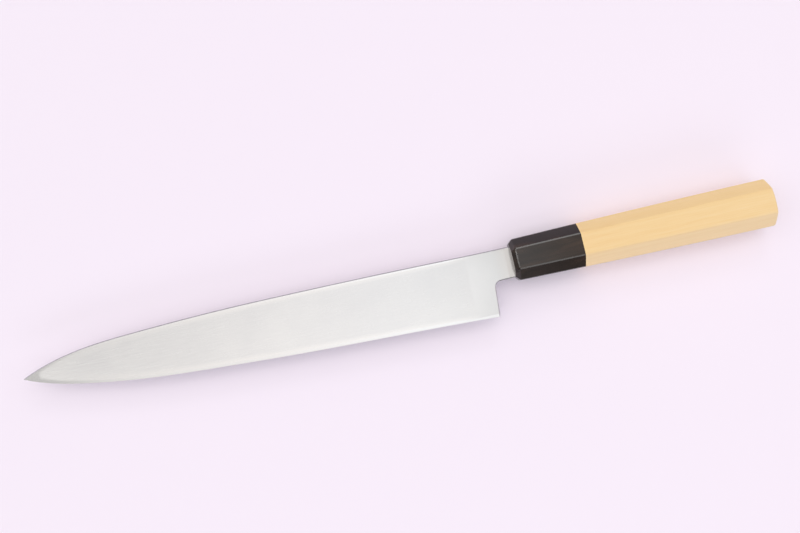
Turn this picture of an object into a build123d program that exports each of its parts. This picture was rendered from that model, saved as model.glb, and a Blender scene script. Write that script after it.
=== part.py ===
"""Right-handed yanagiba: a long single-bevel slicing knife with an octagonal wooden handle.

X runs along the handle towards its butt, Y from the cutting edge towards the spine, and Z out of
the hollow-ground back. The knife lies on its bevelled side, so the back faces up.
The blade is hard steel welded to soft steel. Its tang is driven through a horn ferrule into the
wood, whose tenon fills the ferrule's socket.
Until the last step the handle's centre line is the X axis and the ferrule starts at X zero.
"""

import os
from math import sqrt

from build123d import *

# Blade seen from the side, in millimetres
blade_length = 239.0  # heel to tip, along the handle's direction
heel_height = 33.3  # spine beside the ferrule down to the heel
neck_length = 11.8  # ferrule to heel
neck_height = 15.8
spine_level = 7.25  # spine beside the ferrule, above the handle's centre line
choil_slant = 1.1
choil_radius = 3.3
choil_easing = 0.6  # stoned off the back's corner along the choil and the neck

# The blade's lines at stations from the heel to the tip
station_shares = (0.0, 0.2, 0.4, 0.6, 0.75, 0.87, 0.95, 1.0)  # of the blade's length
spine_rise_shares = (0.002, 0.0245, 0.037, 0.029, -0.01, -0.077, -0.2, -0.336)  # of the heel's height
edge_drop_shares = (1.0, 0.938, 0.886, 0.807, 0.7245, 0.602, 0.471, 0.336)  # of the heel's height
bevel_width_shares = (0.5, 0.485, 0.455, 0.415, 0.36, 0.28, 0.18, 0.1)  # of the heel's height

# Blade through its thickness
heel_thickness = 3.9
tip_thickness = 1.4  # before the bevel and the hollow are ground
edge_thickness = 0.2  # the fine bevel left at the cutting edge
hard_steel_share = 0.36  # of the thickness, on the hollow side
spine_chamfer = 0.5

# Hollow of the back
hollow_radius = 245.0  # grinding wheel
spine_rim = 1.1  # flat left beside the spine
edge_rim = 1.4  # flat left beside the cutting edge
hollow_end_share = 0.965  # of the blade's length
hollow_start = 3.0  # ahead of the ferrule
hollow_runout = 20.0  # length over which the wheel was lifted off
runout_end_share = 0.02  # of the hollow's depth, where the wheel leaves the steel

# Tang
tang_length = 92.0
tang_root_height = 10.8
tang_end_height = 6.0
tang_end_thickness = 2.6
tang_end_radius = 2.4

# Handle
handle_length = 134.0
ferrule_length = 35.2
front_height = 20.9
butt_height = 24.0
front_thickness = 17.2
butt_thickness = 20.0
front_side_flat = 10.3  # width of the flat on each side
butt_side_flat = 12.2
handle_crown = 0.3  # swell of each flat at half length
front_chamfer = 2.0
butt_rounding = 0.8
butt_dome = 1.4  # height of the slightly domed end

# Seats inside the handle
front_wall = 8.0  # horn left between the socket and the blade
socket_diameter = 13.0
tenon_clearance = 0.1
tenon_end_clearance = 0.4
tang_clearance = 0.15
overrun = 3.0  # how far cutting shapes reach past what they cut
loft_stations = 18  # steps along the blade in its ground surfaces

heel_x = -neck_length
tip_x = heel_x - blade_length
neck_bottom = spine_level - neck_height


def slope_at(row, shares):
    """How fast a table's smooth curve changes at one of its stations."""
    before = max(row - 1, 0)
    after = min(row + 1, len(shares) - 1)
    return (shares[after] - shares[before]) / (station_shares[after] - station_shares[before])


def share_at(along, shares):
    """A table read on a smooth curve through its stations, and straight on past either end."""
    last = len(shares) - 1
    if along < station_shares[0]:
        return shares[0] + slope_at(0, shares) * (along - station_shares[0])
    if along > station_shares[last]:
        return shares[last] + slope_at(last, shares) * (along - station_shares[last])
    row = max(place for place in range(last) if along >= station_shares[place])
    step = station_shares[row + 1] - station_shares[row]
    blend = (along - station_shares[row]) / step
    ease = blend**2 * (3 - 2 * blend)
    lead = step * slope_at(row, shares) * blend * (1 - blend) ** 2
    trail = step * slope_at(row + 1, shares) * blend**2 * (1 - blend)
    return shares[row] + (shares[row + 1] - shares[row]) * ease + lead - trail


def evenly(first, last, count):
    """Evenly spaced stations, which keep a loft smooth."""
    return [first + (last - first) * step / count for step in range(count + 1)]


def blade_x(along):
    return heel_x - blade_length * along


def along_at(x):
    return (heel_x - x) / blade_length


def spine_y(along):
    return spine_level + heel_height * share_at(along, spine_rise_shares)


def edge_y(along):
    return spine_level - heel_height * share_at(along, edge_drop_shares)


def thickness(along):
    """The blank's straight taper, which carries on from the heel to the ferrule."""
    return heel_thickness + (tip_thickness - heel_thickness) * along


neck_thickness = thickness(along_at(0))
back_level = neck_thickness / 2


def cross_plane(x):
    """Plane across the knife at x: its own x is the knife's Y and its own y the knife's Z."""
    return Plane(origin=(x, 0, 0), x_dir=(0, 1, 0), z_dir=(1, 0, 0))


def back_end_corners():
    """The heel, the top of the choil and the lower end of the neck, seen from the side."""
    return (heel_x, edge_y(0)), (heel_x + choil_slant, neck_bottom), (0, neck_bottom)


def blade_outline():
    """The blade and its neck seen from the side, up to the ferrule."""
    spine_points = [(blade_x(along), spine_y(along)) for along in station_shares]
    edge_points = [(blade_x(along), edge_y(along)) for along in station_shares]
    spine = Spline((0, spine_level), *spine_points)
    edge = Spline(*edge_points)
    heel, choil_top, neck_end = back_end_corners()
    back_end = Polyline(heel, choil_top, neck_end, (0, spine_level))
    outline = make_face(spine + edge + back_end)
    inner_corner = outline.vertices().sort_by_distance((*choil_top, 0))[0]
    return fillet(inner_corner, choil_radius)


def layer(depth_share):
    """A tapered slab of the blade's whole height, from the back to a share of its thickness."""
    end_x = tip_x - overrun
    root_depth = depth_share * neck_thickness
    end_depth = depth_share * thickness(along_at(end_x))
    back = [(0, back_level), (end_x, back_level)]
    under = [(end_x, back_level - end_depth), (0, back_level - root_depth)]
    profile = make_face(Polyline(*back, *under, close=True))
    return extrude(Plane.XZ.offset(-heel_height) * profile, amount=3 * heel_height)


def bevel_section(along):
    """What the stones take off the bevelled side, across the blade."""
    width = heel_height * share_at(along, bevel_width_shares)
    slope = (thickness(along) - edge_thickness) / width
    edge = edge_y(along)
    level = back_level - edge_thickness
    below = back_level - neck_thickness - overrun
    outer = edge - overrun
    inner = edge + width + overrun
    points = (
        (outer, level + slope * overrun),
        (inner, level - slope * (width + overrun)),
        (inner, below),
        (outer, below),
    )
    return cross_plane(blade_x(along)) * make_face(Polyline(*points, close=True))


def bevel_cutter():
    stations = evenly(along_at(heel_x + overrun), along_at(tip_x - overrun), loft_stations)
    return loft([bevel_section(along) for along in stations])


def hollow_section(along, depth_share=1.0):
    """A slice of the grinding wheel between the two rims, across the blade."""
    top = spine_y(along) - spine_rim
    bottom = edge_y(along) + edge_rim
    depth = depth_share * (top - bottom) ** 2 / (8 * hollow_radius)
    clear = back_level + overrun
    deepest = ((top + bottom) / 2, back_level - depth)
    floor = ThreePointArc((bottom, back_level), deepest, (top, back_level))
    rest = Polyline((top, back_level), (top, clear), (bottom, clear), (bottom, back_level))
    return cross_plane(blade_x(along)) * make_face(floor + rest)


def hollow_cutters():
    """The wheel's path along the back, and the short stretch where it was lifted off."""
    full = along_at(-hollow_start - hollow_runout)
    path = [hollow_section(along) for along in evenly(full, hollow_end_share, loft_stations)]
    runout = [hollow_section(full), hollow_section(along_at(-hollow_start), runout_end_share)]
    return loft(path), loft(runout)


def tang_section(x, clearance):
    share = x / tang_length
    height = tang_root_height + (tang_end_height - tang_root_height) * share
    depth = neck_thickness + (tang_end_thickness - neck_thickness) * share
    return cross_plane(x) * Rectangle(height + 2 * clearance, depth + 2 * clearance)


def tang(start, clearance):
    """The tapered tang from x = start, or with a clearance the hole that takes it."""
    end = tang_length + clearance
    taper = loft([tang_section(start, clearance), tang_section(end, clearance)])
    end_edges = taper.faces().sort_by(Axis.X)[-1].edges().filter_by(Axis.Z)
    return fillet(end_edges, tang_end_radius)


def choil_easer():
    """What a stone takes off the back's corner, up the choil and along the neck."""
    heel, choil_top, neck_end = (Vector(*corner, back_level) for corner in back_end_corners())
    below_heel = heel + (heel - choil_top).normalized() * choil_easing
    past_neck = neck_end + Vector(choil_easing, 0, 0)
    path = FilletPolyline(below_heel, choil_top, past_neck, radius=choil_radius)
    start, along = path @ 0, path % 0
    across = Plane(origin=start, x_dir=along.cross(Vector(0, 0, 1)), z_dir=along)
    above = (-2 * choil_easing, -choil_easing)
    outer = (choil_easing, -choil_easing)
    under = (choil_easing, 2 * choil_easing)
    corner = across * make_face(Polyline(above, outer, under, close=True))
    return sweep(corner, path=path)


def spine_broken(ground):
    """The blade with both long corners of its spine chamfered, the back's first."""
    for corner in (-1, 0):
        spine_wall = ground.faces().sort_by(Axis.Y)[-1]
        long_edges = spine_wall.edges().sort_by(SortBy.LENGTH)[-2:]
        ground = chamfer(long_edges.sort_by(Axis.Z)[corner], spine_chamfer)
    return ground


def whole_blade():
    """The finished blade in one piece, before it is told apart into its two steels."""
    blank = extrude(Pos(0, 0, -neck_thickness) * blade_outline(), amount=2 * neck_thickness)
    blank &= layer(1)
    ground = blank - bevel_cutter()
    for cutter in (*hollow_cutters(), choil_easer()):
        ground -= cutter
    return spine_broken(ground)


def blade_steels():
    """The hard steel of the back and edge, and the soft steel that carries it."""
    blade = whole_blade()
    hard_layer = layer(hard_steel_share)
    hard = blade & hard_layer
    soft = (blade - hard_layer) + tang(0, 0)
    return hard, soft


def octagon(x, half_height, half_thickness, half_flat):
    """A section of the handle, whose sloping flats are cut at 45 degrees."""
    half_edge = half_thickness + half_flat - half_height
    corners = (
        (half_height, half_edge),
        (half_flat, half_thickness),
        (-half_flat, half_thickness),
        (-half_height, half_edge),
        (-half_height, -half_edge),
        (-half_flat, -half_thickness),
        (half_flat, -half_thickness),
        (half_height, -half_edge),
    )
    return cross_plane(x) * make_face(Polyline(*corners, close=True))


def octagon_body():
    """The handle's outside, whose eight flats widen and swell slightly towards the butt."""
    front = (front_height / 2, front_thickness / 2, front_side_flat / 2)
    butt = (butt_height / 2, butt_thickness / 2, butt_side_flat / 2)
    corner_swell = handle_crown * (sqrt(2) - 1)  # keeps the swell alike on the 45 degree flats
    swells = (handle_crown, handle_crown, corner_swell)
    middle = [(near + far) / 2 + swell for near, far, swell in zip(front, butt, swells)]
    sections = [octagon(0, *front), octagon(handle_length / 2, *middle), octagon(handle_length, *butt)]
    return loft(sections)


def domed(rear):
    """The butt turned to a slight dome, and its rim rounded over."""
    dome_radius = ((butt_height / 2) ** 2 + butt_dome**2) / (2 * butt_dome)
    centre_x = handle_length - dome_radius
    dome = CenterArc((centre_x, 0), dome_radius, start_angle=0, arc_size=90)
    ahead = -dome_radius
    bar = Polyline((centre_x, dome_radius), (ahead, dome_radius), (ahead, 0), (handle_length, 0))
    rear &= revolve(make_face(dome + bar), axis=Axis.X)
    return fillet(rear.faces().sort_by(Axis.X)[-1].edges(), butt_rounding)


def handle_pieces():
    """The horn ferrule, and the wood whose round tenon fills it."""
    body = octagon_body()
    joint = cross_plane(ferrule_length)
    front = split(body, bisect_by=joint, keep=Keep.BOTTOM)
    front = chamfer(front.faces().sort_by(Axis.X)[0].edges(), front_chamfer)
    rear = domed(split(body, bisect_by=joint, keep=Keep.TOP))
    hole = tang(-overrun, tang_clearance)
    along_handle = (Align.CENTER, Align.CENTER, Align.MIN)
    socket_depth = ferrule_length - front_wall
    socket = cross_plane(front_wall) * Cylinder(socket_diameter / 2, socket_depth, align=along_handle)
    tenon_radius = socket_diameter / 2 - tenon_clearance
    tenon_length = socket_depth - tenon_end_clearance
    tenon_start = cross_plane(ferrule_length - tenon_length)
    tenon = tenon_start * Cylinder(tenon_radius, tenon_length, align=along_handle)
    return front - socket - hole, rear + tenon - hole


hard_steel, soft_steel = blade_steels()
ferrule, wood = handle_pieces()
nodes = {
    "blade_edge_steel": hard_steel,
    "blade_soft_steel": soft_steel,
    "horn_ferrule": ferrule,
    "wooden_handle": wood,
}

# The finished knife stands over its own origin: middle of its length and height, lowest point
box = Compound(children=[Compound(solid.solids()) for solid in nodes.values()]).bounding_box()
shift = Pos(-box.center().X, -box.center().Y, -box.min.Z)
os.makedirs("parts", exist_ok=True)
for name, solid in nodes.items():
    export_step(shift * solid, f"parts/{name}.step")
print("origin moved by", shift.position)
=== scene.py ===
"""A right-handed yanagiba slicing knife, lying on its bevelled side on a plain table."""
from math import cos, hypot, radians, sqrt

import bmesh
import bpy
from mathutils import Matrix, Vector


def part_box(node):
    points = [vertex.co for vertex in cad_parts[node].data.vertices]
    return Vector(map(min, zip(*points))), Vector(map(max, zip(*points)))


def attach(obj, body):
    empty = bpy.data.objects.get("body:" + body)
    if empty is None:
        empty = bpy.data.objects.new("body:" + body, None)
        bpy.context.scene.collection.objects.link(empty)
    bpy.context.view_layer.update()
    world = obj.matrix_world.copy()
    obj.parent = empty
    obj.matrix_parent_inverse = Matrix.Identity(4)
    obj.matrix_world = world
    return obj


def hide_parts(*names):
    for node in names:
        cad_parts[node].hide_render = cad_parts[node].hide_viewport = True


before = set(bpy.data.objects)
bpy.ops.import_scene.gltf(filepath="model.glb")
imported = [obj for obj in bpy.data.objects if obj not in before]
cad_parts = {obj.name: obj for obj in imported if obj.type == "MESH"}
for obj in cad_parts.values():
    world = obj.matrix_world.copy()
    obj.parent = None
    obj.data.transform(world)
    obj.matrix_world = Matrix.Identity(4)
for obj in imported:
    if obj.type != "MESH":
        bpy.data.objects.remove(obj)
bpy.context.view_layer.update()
mm = 0.001

# The camera hangs over the knife, where the photograph was taken from, and looks almost straight
# down. Its place and turn were fitted to the knife's own corners.
camera_place = Vector((-1.7608, -8.9772, 412.2854)) * mm
camera_turn = (radians(3.705), radians(0.158), radians(-12.778))
lens = 36
sensor = 36

bpy.ops.object.camera_add(location=camera_place, rotation=camera_turn)
camera = bpy.context.object
camera.name = "camera"
camera.data.lens = lens
camera.data.sensor_width = sensor
camera.data.clip_start = 10 * mm
bpy.context.scene.camera = camera

# The hard steel: a thin layer of high-carbon steel that holds the edge and the whole hollow-ground
# back. It was forge-welded to the soft steel, ground hollow on a wheel, and its rim was then laid
# flat on a stone. The neck was filed and sanded, and its colour turns warmer next to the ferrule.
back_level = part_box("blade_edge_steel")[1].z
front_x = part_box("horn_ferrule")[0].x
neck_length = 11.8 * mm
heel_x = front_x - neck_length


def linear(hex_colour):
    """An sRGB colour such as #D9E0DC as the linear colour that a shader takes."""
    shares = [int(hex_colour[place:place + 2], 16) / 255 for place in (1, 3, 5)]
    toned = [share / 12.92 if share <= 0.04045 else ((share + 0.055) / 1.055) ** 2.4 for share in shares]
    return (*toned, 1)


def new_material(name):
    """An empty material, its node tree and its Principled shader."""
    material = bpy.data.materials.new(name)
    material.use_nodes = True
    return material, material.node_tree, material.node_tree.nodes["Principled BSDF"]


def add(tree, kind, sockets=None, ramp=None, **settings):
    """A node with its settings, its socket values or links, and a colour ramp's stops."""
    node = tree.nodes.new("ShaderNode" + kind)
    for name, value in settings.items():
        setattr(node, name, value)
    for name, value in (sockets or {}).items():
        if isinstance(value, bpy.types.NodeSocket):
            tree.links.new(value, node.inputs[name])
        else:
            node.inputs[name].default_value = value
    if ramp:
        stops = node.color_ramp.elements
        while len(stops) < len(ramp):
            stops.new(1)
        for stop, (place, hex_colour) in zip(stops, ramp):
            stop.position = place
            stop.color = linear(hex_colour)
    return node


# Ground steel looks satin: fine scratches lie along the blade, too fine to show at their real
# width, so they are drawn 0.4 mm wide. The wheel leaves the hollow softly clouded. Where the hollow
# rises to the rim it is painted lighter, a painted highlight for the light it reflects there, which
# fades towards the tip. The stone leaves the rim smoother.
scratch_width = 0.4 * mm
scratch_length = 9 * mm
scratch_depth = 0.004 * mm
cloud_size = 24 * mm
stone_reach = 0.012 * mm
highlight_depth = 0.1 * mm
tip_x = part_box("blade_edge_steel")[0].x
edge_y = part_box("blade_edge_steel")[0].y
edge_rim = 1.4 * mm
rim_blur = 0.4 * mm
filed_from, filed_to = heel_x - 12 * mm, heel_x + 6 * mm
warm_from, warm_to = front_x - 9 * mm, front_x - 2 * mm
stone_from, stone_to = heel_x - 8 * mm, heel_x - 20 * mm
bright_from, bright_to = tip_x + 20 * mm, tip_x + 100 * mm
highlight_at_tip = 0.3

steel, tree, shader = new_material("ground_high_carbon_steel")
place = add(tree, "TexCoord").outputs["Object"]
axes = add(tree, "SeparateXYZ", {"Vector": place}).outputs
drawn = add(tree, "Mapping", {"Vector": place, "Scale": (scratch_width / scratch_length, 1, 1)}).outputs[0]
scratches = add(tree, "TexNoise", {"Vector": drawn, "Scale": 1 / scratch_width, "Detail": 2}).outputs["Fac"]
clouds = add(tree, "TexNoise", {"Vector": place, "Scale": 1 / cloud_size, "Detail": 2}).outputs["Fac"]
mixed = add(tree, "Mix", {"Factor": 0.55, "A": scratches, "B": clouds}, data_type="FLOAT").outputs[0]
hollow = add(tree, "ValToRGB", {"Fac": mixed}, ramp=((0.3, "#C1C2C4"), (0.7, "#C8C9CA"))).outputs[0]
filed = add(tree, "MapRange", {
    "Value": axes["X"], "From Min": filed_from, "From Max": filed_to,
}).outputs[0]
sanded = add(
    tree, "Mix", {"Factor": filed, "A": hollow, "B": linear("#BABBBC")}, data_type="RGBA",
).outputs["Result"]
# The neck's colour turns warmer over the last few millimetres before the ferrule.
warming = add(tree, "MapRange", {
    "Value": axes["X"], "From Min": warm_from, "From Max": warm_to,
}).outputs[0]
tinted = add(
    tree, "Mix", {"Factor": warming, "A": sanded, "B": linear("#BCBAB9")}, data_type="RGBA",
).outputs["Result"]
ahead = add(tree, "MapRange", {
    "Value": axes["X"], "From Min": stone_from, "From Max": stone_to,
}).outputs[0]
strip = add(tree, "MapRange", {
    "Value": axes["Y"], "From Min": edge_y + edge_rim + rim_blur, "From Max": edge_y + edge_rim,
}).outputs[0]
stoned = add(tree, "Math", {0: ahead, 1: strip}, operation="MAXIMUM").outputs[0]
# Painted highlight: the hollow is painted lighter where it lies within 0.1 mm of the back, beside the rim.
# The highlight is weaker towards the tip and absent by the heel.
near = add(tree, "MapRange", {
    "Value": axes["Z"], "From Min": back_level - highlight_depth, "From Max": back_level,
}).outputs[0]
painted_highlight = add(tree, "Math", {0: near, 1: ahead}, operation="MULTIPLY").outputs[0]
fading = add(tree, "MapRange", {
    "Value": axes["X"], "From Min": bright_from, "From Max": bright_to,
    "To Min": highlight_at_tip, "To Max": 1.0,
}).outputs[0]
painted_highlight = add(tree, "Math", {0: painted_highlight, 1: fading}, operation="MULTIPLY").outputs[0]
shaded = add(
    tree, "Mix", {"Factor": painted_highlight, "A": tinted, "B": linear("#CECECE")}, data_type="RGBA",
).outputs["Result"]
low, high = back_level - stone_reach, back_level - stone_reach / 6
flat = add(tree, "MapRange", {"Value": axes["Z"], "From Min": low, "From Max": high}).outputs[0]
rim = add(tree, "Math", {0: flat, 1: stoned}, operation="MULTIPLY").outputs[0]
colour = add(
    tree, "Mix", {"Factor": rim, "A": shaded, "B": linear("#CCCDCE")}, data_type="RGBA",
).outputs["Result"]
grind = add(tree, "MapRange", {"Value": scratches, "To Min": 0.22, "To Max": 0.30}).outputs[0]
paper = add(tree, "Mix", {"Factor": filed, "A": grind, "B": 0.2}, data_type="FLOAT").outputs[0]
gloss = add(tree, "Mix", {"Factor": rim, "A": paper, "B": 0.16}, data_type="FLOAT").outputs[0]
grooves = add(tree, "Bump", {"Height": scratches, "Strength": 0.4, "Distance": scratch_depth}).outputs[0]
tree.links.new(colour, shader.inputs["Base Color"])
tree.links.new(gloss, shader.inputs["Roughness"])
tree.links.new(grooves, shader.inputs["Normal"])
shader.inputs["Metallic"].default_value = 1
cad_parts["blade_edge_steel"].material_slots[0].material = steel

# The soft steel: iron-like steel that carries the hard layer. It holds the bevel's upper part, the
# flat above it, the spine and the tang that is driven into the handle. The stones that grind the
# bevel leave it hazy beside the bright hard steel, with the weld line between them.
iron, tree, shader = new_material("stoned_soft_steel")
place = add(tree, "TexCoord").outputs["Object"]
drawn = add(tree, "Mapping", {"Vector": place, "Scale": (scratch_width / scratch_length, 1, 1)}).outputs[0]
scratches = add(tree, "TexNoise", {"Vector": drawn, "Scale": 1 / scratch_width, "Detail": 3}).outputs["Fac"]
haze = add(tree, "TexNoise", {"Vector": place, "Scale": 1 / cloud_size, "Detail": 3}).outputs["Fac"]
mixed = add(tree, "Mix", {"Factor": 0.4, "A": scratches, "B": haze}, data_type="FLOAT").outputs[0]
tone = add(tree, "ValToRGB", {"Fac": mixed}, ramp=((0.3, "#C8C7C6"), (0.7, "#D4D3D2"))).outputs[0]
grooves = add(tree, "Bump", {"Height": scratches, "Strength": 0.4, "Distance": scratch_depth}).outputs[0]
tree.links.new(tone, shader.inputs["Base Color"])
tree.links.new(grooves, shader.inputs["Normal"])
shader.inputs["Metallic"].default_value = 1
shader.inputs["Roughness"].default_value = 0.42
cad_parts["blade_soft_steel"].material_slots[0].material = iron

# The ferrule: a block of dark buffalo horn, bored for the handle's tenon, slotted for the tang and
# glued on. It was planed to eight flats together with the handle, chamfered at its front and polished.
joint_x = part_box("horn_ferrule")[1].x
butt_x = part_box("wooden_handle")[1].x
ferrule_low, ferrule_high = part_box("horn_ferrule")
tang_low, tang_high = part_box("blade_soft_steel")
axis_y = (ferrule_low.y + ferrule_high.y) / 2
axis_z = (ferrule_low.z + ferrule_high.z) / 2
front_section = (10.45 * mm, 8.6 * mm, 5.15 * mm)
butt_section = (12 * mm, 10 * mm, 6.1 * mm)
crown = 0.3 * mm
swells = (crown, crown, crown * (sqrt(2) - 1))
front_chamfer = 2 * mm
chamfer_easing = 0.3 * mm
arris = 0.4 * mm
front_wall = 8 * mm
socket_radius = 6.5 * mm
tenon_radius = 6.4 * mm
tenon_gap = 0.4 * mm
tang_gap = 0.15 * mm
tang_root = (10.8 * mm, tang_high.z - tang_low.z)
tang_end = (6 * mm, 2.6 * mm)
overrun = 3 * mm
tiny = 0.01 * mm
corner_angle = radians(30)
mostly = 0.9


def section_at(x):
    """Half the handle's height, thickness and side flat at x."""
    share = (x - front_x) / (butt_x - front_x)
    bow = 4 * share * (1 - share)
    return [near + (far - near) * share + swell * bow
            for near, far, swell in zip(front_section, butt_section, swells)]


def select(kind, test):
    """In edit mode, selects only the vertices, edges or faces that pass a test."""
    mesh = bmesh.from_edit_mesh(bpy.context.object.data)
    bpy.context.tool_settings.mesh_select_mode = [kind == name for name in ("verts", "edges", "faces")]
    for group in (mesh.faces, mesh.edges, mesh.verts):
        for element in group:
            element.select = False
    for element in getattr(mesh, kind):
        if test(element):
            element.select_set(True)
    mesh.select_flush_mode()
    bmesh.update_edit_mesh(bpy.context.object.data)


def add_block(name, low, high):
    """A block between two corners, all selected in edit mode."""
    bpy.ops.object.select_all(action="DESELECT")
    middle = [(near + far) / 2 for near, far in zip(low, high)]
    size = [far - near for near, far in zip(low, high)]
    bpy.ops.mesh.primitive_cube_add(size=1, location=middle, scale=size)
    bpy.context.object.name = name
    bpy.ops.object.transform_apply(location=True, rotation=True, scale=True)
    bpy.ops.object.mode_set(mode="EDIT")
    return bpy.context.object


def is_arris(edge):
    """A corner that runs along the handle, between two of its flats."""
    run = edge.verts[1].co - edge.verts[0].co
    return abs(run.x) > mostly * run.length and edge.calc_face_angle() > corner_angle


def is_chamfer_end(edge):
    """A corner of the ferrule where the chamfer round its front meets a long flat."""
    near = all(abs(vert.co.x - front_x - front_chamfer) < tiny for vert in edge.verts)
    return near and edge.calc_face_angle() > corner_angle


def marks(flat, full, strips):
    """Distances from the axis at which a section is cut into strips, the corner's among them."""
    inner = [flat * step / strips for step in range(1, strips + 1)]
    outer = [flat + (full - flat) * step / strips for step in range(1, strips)]
    return inner + outer


def carried(distance, from_corners, to_corners):
    """A distance from the axis in one section, carried to where it lies in another."""
    size = abs(distance)
    inner, outer = from_corners
    new_inner, new_outer = to_corners
    if size <= inner:
        moved = size * new_inner / inner
    else:
        moved = new_inner + (size - inner) * (new_outer - new_inner) / (outer - inner)
    return moved if distance > 0 else -moved


def planed_bar(name, first_x, last_x, rings, strips):
    """A square bar with its corners planed off, then planed down to its taper and slight swell."""
    height, thickness, flat = butt_section
    edge = thickness + flat - height
    low = (first_x, axis_y - height, axis_z - thickness)
    high = (last_x, axis_y + height, axis_z + thickness)
    bar = add_block(name, low, high)
    select("edges", is_arris)
    bpy.ops.mesh.bevel(offset=height - flat, segments=1)
    step = (last_x - first_x) / rings
    cuts = [((first_x + step * ring, 0, 0), (1, 0, 0)) for ring in range(1, rings)]
    for side in (-1, 1):
        cuts += [((0, axis_y + side * mark, 0), (0, 1, 0)) for mark in marks(flat, height, strips)]
        cuts += [((0, 0, axis_z + side * mark), (0, 0, 1)) for mark in marks(edge, thickness, strips)]
    for point, normal in cuts:
        bpy.ops.mesh.select_all(action="SELECT")
        bpy.ops.mesh.bisect(plane_co=point, plane_no=normal)
    mesh = bmesh.from_edit_mesh(bar.data)
    for vert in mesh.verts:
        high, thick, side_flat = section_at(vert.co.x)
        edge_flat = thick + side_flat - high
        vert.co.y = axis_y + carried(vert.co.y - axis_y, (flat, height), (side_flat, high))
        vert.co.z = axis_z + carried(vert.co.z - axis_z, (edge, thickness), (edge_flat, thick))
    bmesh.update_edit_mesh(bar.data)
    return bar


def add_round(name, first_x, last_x, radius):
    """A round bar on the handle's axis, in object mode."""
    bpy.ops.object.select_all(action="DESELECT")
    bpy.ops.mesh.primitive_cylinder_add(
        vertices=48, radius=radius, depth=last_x - first_x,
        location=((first_x + last_x) / 2, axis_y, axis_z), rotation=(0, radians(90), 0),
    )
    bpy.context.object.name = name
    bpy.ops.object.transform_apply(location=True, rotation=True, scale=True)
    return bpy.context.object


def add_tang_hole(name):
    """The tapered hole for the tang, from ahead of the ferrule to past the tang's end."""
    tang_tip = tang_high.x + tang_gap
    root = [size / 2 + tang_gap for size in tang_root]
    low = (front_x, axis_y - root[0], axis_z - root[1])
    high = (tang_tip, axis_y + root[0], axis_z + root[1])
    hole = add_block(name, low, high)
    select("faces", lambda face: face.normal.x > mostly)
    narrowing = [(end / 2 + tang_gap) / start for end, start in zip(tang_end, root)]
    bpy.ops.transform.resize(value=(1, *narrowing), center_override=(tang_tip, axis_y, axis_z))
    select("faces", lambda face: face.normal.x < -mostly)
    bpy.ops.transform.translate(value=(-overrun, 0, 0))
    bpy.ops.object.mode_set(mode="OBJECT")
    return hole


def combine(piece, tool, operation):
    """Cuts a piece with a tool, or joins the two, and takes the tool away."""
    bpy.ops.object.select_all(action="DESELECT")
    bpy.context.view_layer.objects.active = piece
    piece.select_set(True)
    bpy.ops.object.modifier_add(type="BOOLEAN")
    piece.modifiers[-1].operation = operation
    piece.modifiers[-1].object = tool
    piece.modifiers[-1].solver = "EXACT"
    bpy.ops.object.modifier_apply(modifier=piece.modifiers[-1].name)
    bpy.data.objects.remove(tool)


def finish_smooth(piece, widest):
    """Shading that is flat on the flats and smooth over corners up to the widest angle."""
    bpy.ops.object.shade_smooth_by_angle(angle=radians(widest))
    bpy.ops.object.modifier_add(type="WEIGHTED_NORMAL")
    piece.modifiers[-1].keep_sharp = True
    bpy.ops.object.modifier_apply(modifier=piece.modifiers[-1].name)


ferrule = planed_bar("ferrule", front_x, joint_x, rings=4, strips=0)
select("edges", lambda edge: all(vert.co.x < front_x + tiny for vert in edge.verts))
bpy.ops.mesh.bevel(offset=front_chamfer, segments=1)
select("edges", is_chamfer_end)
bpy.ops.mesh.bevel(offset=chamfer_easing, segments=1, clamp_overlap=False)
select("edges", is_arris)
bpy.ops.mesh.bevel(offset=arris, segments=1, clamp_overlap=False)
bpy.ops.object.mode_set(mode="OBJECT")
socket = add_round("socket", front_x + front_wall, joint_x + overrun, socket_radius)
combine(ferrule, socket, "DIFFERENCE")
combine(ferrule, add_tang_hole("slot"), "DIFFERENCE")
finish_smooth(ferrule, widest=20)

# Horn is keratin: near black, with brown clouds drawn out along the block, and it polishes to a
# gloss like that of lacquer.
marble_size = 5 * mm
marble_length = 25 * mm

horn, tree, shader = new_material("polished_buffalo_horn")
place = add(tree, "TexCoord").outputs["Object"]
drawn = add(tree, "Mapping", {"Vector": place, "Scale": (marble_size / marble_length, 1, 1)}).outputs[0]
marble = add(tree, "TexNoise", {
    "Vector": drawn, "Scale": 1 / marble_size, "Detail": 4, "Distortion": 0.6,
}).outputs["Fac"]
tone = add(tree, "ValToRGB", {"Fac": marble}, ramp=(
    (0.35, "#1A110C"), (0.55, "#251A14"), (0.75, "#3A2A21"),
)).outputs[0]
wear = add(tree, "MapRange", {"Value": marble, "To Min": 0.10, "To Max": 0.16}).outputs[0]
tree.links.new(tone, shader.inputs["Base Color"])
tree.links.new(wear, shader.inputs["Roughness"])
shader.inputs["IOR"].default_value = 1.5
ferrule.data.materials.append(horn)
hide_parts("horn_ferrule")
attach(ferrule, "root")

# The handle: one stick of pale ho wood, planed to eight flats, domed at the butt and sanded, and
# left bare. Its front end is turned down to a tenon that fills the ferrule, and the tang sits in a
# hole down its middle.
butt_rounding = 0.9 * mm
butt_dome = 1.4 * mm
butt_corner_angle = radians(45)
dome_radius = (butt_section[0] ** 2 + butt_dome ** 2) / (2 * butt_dome)

handle = planed_bar("handle", joint_x, butt_x, rings=10, strips=3)
mesh = bmesh.from_edit_mesh(handle.data)
for vert in mesh.verts:
    if vert.co.x > butt_x - tiny:
        reach = hypot(vert.co.y - axis_y, vert.co.z - axis_z)
        vert.co.x -= dome_radius - sqrt(dome_radius ** 2 - reach ** 2)
mesh.normal_update()
bmesh.update_edit_mesh(handle.data)


def is_butt_corner(edge):
    """A corner that runs round the butt, where its dome meets a long flat."""
    at_butt = all(vert.co.x > butt_x - overrun for vert in edge.verts)
    return at_butt and edge.calc_face_angle() > butt_corner_angle


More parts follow.
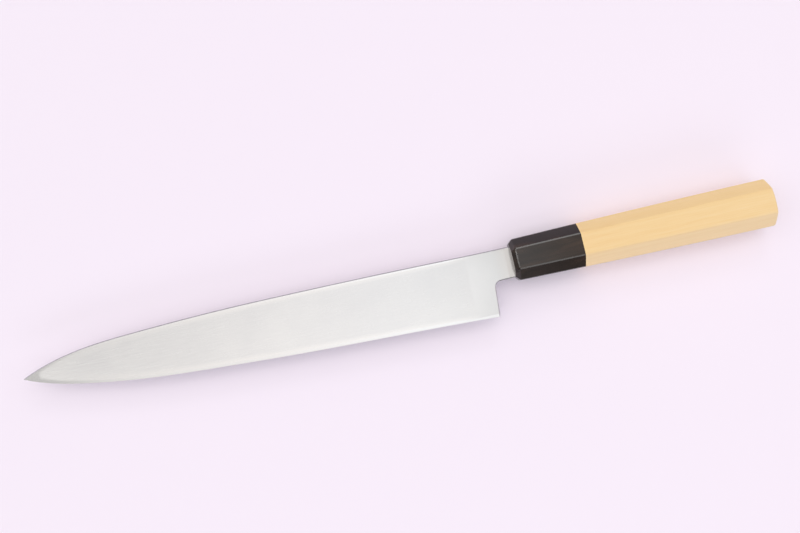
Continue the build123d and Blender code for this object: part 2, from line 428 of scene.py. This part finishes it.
select("edges", is_butt_corner)
bpy.ops.mesh.bevel(offset=butt_rounding, segments=5, clamp_overlap=False)
select("edges", is_arris)
bpy.ops.mesh.bevel(offset=arris, segments=3, clamp_overlap=False)
bpy.ops.object.mode_set(mode="OBJECT")
tenon_x = front_x + front_wall + tenon_gap
combine(handle, add_round("tenon", tenon_x, joint_x + overrun, tenon_radius), "UNION")
combine(handle, add_tang_hole("hole"), "DIFFERENCE")
finish_smooth(handle, widest=35)

# Ho wood is a magnolia: cream to honey, with a straight grain so even that its rings hardly show,
# and a fine sanded surface with a soft sheen. Fibres are drawn wider than the real ones.
heart = (0, -38 * mm, -30 * mm)
sheen_start = axis_y - 4.5 * mm
sheen_end = axis_y - 7 * mm
ring_spacing = 3.4 * mm
ring_length_share = 0.04
fibre_width = 0.5 * mm
fibre_length = 14 * mm
fibre_depth = 0.01 * mm
waves_in_a_unit = 0.314
patch_size = 9 * mm

wood, tree, shader = new_material("sanded_ho_wood")
place = add(tree, "TexCoord").outputs["Object"]
axes = add(tree, "SeparateXYZ", {"Vector": place}).outputs
trunk = add(tree, "Mapping", {
    "Vector": place, "Location": heart, "Scale": (ring_length_share, 1, 1),
}).outputs[0]
rings = add(tree, "TexWave", {
    "Vector": trunk, "Scale": waves_in_a_unit / ring_spacing,
    "Distortion": 3, "Detail": 2, "Detail Scale": 0.6,
}, wave_type="RINGS", rings_direction="X").outputs["Fac"]
drawn = add(tree, "Mapping", {"Vector": place, "Scale": (fibre_width / fibre_length, 1, 1)}).outputs[0]
fibres = add(tree, "TexNoise", {"Vector": drawn, "Scale": 1 / fibre_width, "Detail": 3}).outputs["Fac"]
patches = add(tree, "TexNoise", {"Vector": trunk, "Scale": 1 / patch_size, "Detail": 2}).outputs["Fac"]
grain = add(tree, "Mix", {"Factor": 0.12, "A": fibres, "B": rings}, data_type="FLOAT").outputs[0]
grain = add(tree, "Mix", {"Factor": 0.4, "A": grain, "B": patches}, data_type="FLOAT").outputs[0]
tone = add(tree, "ValToRGB", {"Fac": grain}, ramp=(
    (0.3, "#EFCA8F"), (0.5, "#F2D098"), (0.7, "#F4D4A0"),
)).outputs[0]
# Painted sheen: the flats on the side that faces the low window are painted paler, for the whitish sheen of
# light they catch from it.
pale = add(tree, "ValToRGB", {"Fac": grain}, ramp=(
    (0.3, "#F4D4A4"), (0.5, "#F7D9AC"), (0.7, "#F9DDB4"),
)).outputs[0]
painted_sheen = add(tree, "MapRange", {"Value": axes["Y"], "From Min": sheen_start, "From Max": sheen_end}).outputs[0]
tone = add(tree, "Mix", {"Factor": painted_sheen, "A": tone, "B": pale}, data_type="RGBA").outputs["Result"]
pores = add(tree, "Bump", {"Height": fibres, "Strength": 0.5, "Distance": fibre_depth}).outputs[0]
tree.links.new(tone, shader.inputs["Base Color"])
tree.links.new(pores, shader.inputs["Normal"])
shader.inputs["Roughness"].default_value = 0.42
shader.inputs["IOR"].default_value = 1.5
handle.data.materials.append(wood)
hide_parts("wooden_handle")
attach(handle, "root")

# The table: a sheet of pale matt card. It shows from above only, so that the knife can be looked
# at from below as well.
table_size = 1000 * mm
card_colour = "#F7EDF9"
own_share = 0.12

bpy.ops.object.select_all(action="DESELECT")
bpy.ops.mesh.primitive_plane_add(size=table_size)
table = bpy.context.object
table.name = "table"
card, tree, shader = new_material("matt_card")
shader.inputs["Base Color"].default_value = linear(card_colour)
shader.inputs["Roughness"].default_value = 0.9
shader.inputs["Specular IOR Level"].default_value = 0
ray = add(tree, "LightPath").outputs
seen = add(tree, "Math", {0: ray["Is Camera Ray"], 1: ray["Is Glossy Ray"]}, operation="MAXIMUM").outputs[0]
seen = add(tree, "Math", {0: seen, 1: ray["Is Transmission Ray"]}, operation="MAXIMUM").outputs[0]
share = add(tree, "Math", {0: seen, 1: own_share}, operation="MULTIPLY").outputs[0]
own = add(tree, "Emission", {"Color": linear(card_colour), "Strength": 1.0}).outputs[0]
lit = add(tree, "MixShader", {0: share, 1: shader.outputs[0], 2: own}).outputs[0]
under = add(tree, "NewGeometry").outputs["Backfacing"]
clear = add(tree, "BsdfTransparent").outputs[0]
one_sided = add(tree, "MixShader", {0: under, 1: lit, 2: clear}).outputs[0]
tree.links.new(one_sided, tree.nodes["Material Output"].inputs["Surface"])
table.data.materials.append(card)

# The light: a white studio whose ceiling is brightest over and behind the knife, with one dim spot
# beyond the tip. A low window before the knife fills its shaded side, and three small lamps draw
# thin lines of light along the corners of the polished horn.
room_level = 2.28
spot_place = Vector((-0.45, 0.0, 0.893))
spot_inner = cos(radians(1))
spot_outer = cos(radians(6))
spot_share = 0.4


def add_lamp(name, place, energy, size, size_y, hex_colour):
    """A soft rectangular lamp that faces the knife."""
    bpy.ops.object.light_add(type="AREA", location=place)
    lamp = bpy.context.object
    lamp.name = name
    lamp.data.shape = "RECTANGLE"
    lamp.data.energy = energy
    lamp.data.color = linear(hex_colour)[:3]
    lamp.data.size = size
    lamp.data.size_y = size_y
    lamp.rotation_euler = Vector(place).to_track_quat("Z", "Y").to_euler()


add_lamp("low_window", (0.60, -2.66, 1.27), energy=17, size=2.8, size_y=0.75, hex_colour="#F0F7FF")
add_lamp("front_lamp", (0.65, -1.87, 2.28), energy=3.5, size=0.7, size_y=0.52, hex_colour="#FFFFFF")
add_lamp("back_lamp", (0.57, 2.27, 1.88), energy=6, size=0.75, size_y=0.65, hex_colour="#FFFFFF")
add_lamp("left_lamp", (-1.70, 0.22, 2.42), energy=1.2, size=0.2, size_y=0.12, hex_colour="#FFFFFF")

world = bpy.data.worlds.new("studio")
bpy.context.scene.world = world
world.use_nodes = True
tree = world.node_tree
direction = add(tree, "TexCoord").outputs["Generated"]
axes = add(tree, "SeparateXYZ", {"Vector": direction}).outputs
# From the horizon up to the middle of the ceiling.
sky = add(tree, "ValToRGB", {"Fac": axes["Z"]}, ramp=(
    (0.0, "#A8A8A8"), (0.14, "#B8B8B8"), (0.3, "#E0E0E0"),
    (0.6, "#F8F8F8"), (0.85, "#FFFFFF"), (1.0, "#FFFFFF"),
)).outputs[0]
towards = add(
    tree, "VectorMath", {0: direction, 1: spot_place.normalized()}, operation="DOT_PRODUCT",
).outputs["Value"]
spot = add(tree, "MapRange", {
    "Value": towards, "From Min": spot_outer, "From Max": spot_inner,
    "To Min": room_level, "To Max": spot_share * room_level,
}, interpolation_type="SMOOTHSTEP").outputs[0]
ray = add(tree, "LightPath").outputs
seen = add(
    tree, "Math", {0: ray["Is Camera Ray"], 1: ray["Is Transmission Ray"]}, operation="MAXIMUM",
).outputs[0]
# From before the knife to behind it.
across = add(tree, "MapRange", {"Value": axes["Y"], "From Min": -1, "From Max": 1}).outputs[0]
ceiling = add(tree, "ValToRGB", {"Fac": across}, ramp=(
    (0.0, "#C4C5C6"), (0.05, "#8C9094"), (0.12, "#6C7074"), (0.25, "#6E7276"),
    (0.30, "#9EA0A2"), (0.34, "#DFDFDF"), (0.38, "#E5E5E5"), (0.44, "#DBDBDB"),
    (0.56, "#DEDEDD"), (0.59, "#E8E7E6"), (0.62, "#FFFDFA"), (0.70, "#FFFDFA"),
    (0.74, "#DCDBD9"), (0.78, "#B8B8B8"), (0.84, "#9A9C9E"), (1.0, "#85888C"),
)).outputs[0]
# From the tip's side to the butt's side.
along = add(tree, "MapRange", {"Value": axes["X"], "From Min": -0.45, "From Max": 0.55}).outputs[0]
tint = add(tree, "ValToRGB", {"Fac": along}, ramp=(
    (0.0, "#DBD7D4"), (0.16, "#E7E3E0"), (0.32, "#F4EFED"), (0.54, "#FFFFFF"),
    (0.58, "#F2F2F3"), (0.61, "#E0DEDD"), (0.64, "#C8C1BB"), (0.68, "#B9AFA7"),
    (0.73, "#BFB8B3"), (0.80, "#DADDE2"), (1.0, "#DADDE2"),
)).outputs[0]
sky = add(
    tree, "Mix", {"Factor": 1, "A": sky, "B": ceiling}, data_type="RGBA", blend_type="MULTIPLY",
).outputs["Result"]
sky = add(
    tree, "Mix", {"Factor": 1, "A": sky, "B": tint}, data_type="RGBA", blend_type="MULTIPLY",
).outputs["Result"]
colour = add(
    tree, "Mix", {"Factor": seen, "A": sky, "B": linear(card_colour)}, data_type="RGBA",
).outputs["Result"]
strength = add(tree, "Mix", {"Factor": seen, "A": spot, "B": 1.0}, data_type="FLOAT").outputs[0]
tree.links.new(colour, tree.nodes["Background"].inputs["Color"])
tree.links.new(strength, tree.nodes["Background"].inputs["Strength"])

bpy.context.scene.view_settings.view_transform = "Standard"
